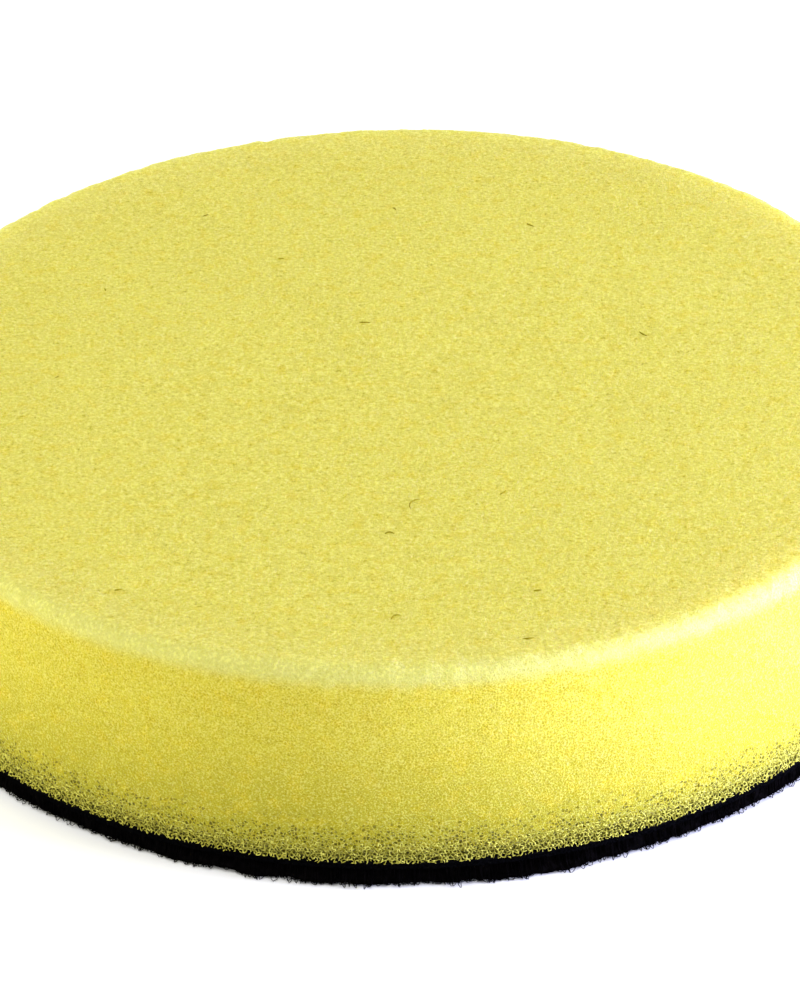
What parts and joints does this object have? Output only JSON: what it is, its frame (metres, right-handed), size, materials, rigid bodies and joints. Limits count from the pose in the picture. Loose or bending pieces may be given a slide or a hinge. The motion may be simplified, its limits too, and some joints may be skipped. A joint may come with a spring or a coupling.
{
  "type": "foam polishing pad",
  "caption": "Flat round foam pad with an eased rim and a hook-and-loop backing, for polishing car paint on a rotary or orbital machine.",
  "frame": {"origin": "on the pad's axis, in the plane of the loop pile's tips, where the pad meets the backing plate or a bench", "axes": "+Z along the axis, from the loop pile to the working face; the pad is round, so X and Y are any two directions across it"},
  "size_m": [0.15, 0.15, 0.033],
  "materials": {
    "foam": "open-cell polyurethane foam, pale yellow, matt",
    "bond_film": "black hot-melt film, matt",
    "loop_cloth": "black warp-knitted ground cloth",
    "loop_pile": "black brushed nylon loops"
  },
  "bodies": {
    "root": {"foam_disc": "foam", "bond_film": "bond_film", "loop_cloth": "loop_cloth", "loop_pile": "loop_pile"}
  },
  "joints": []
}
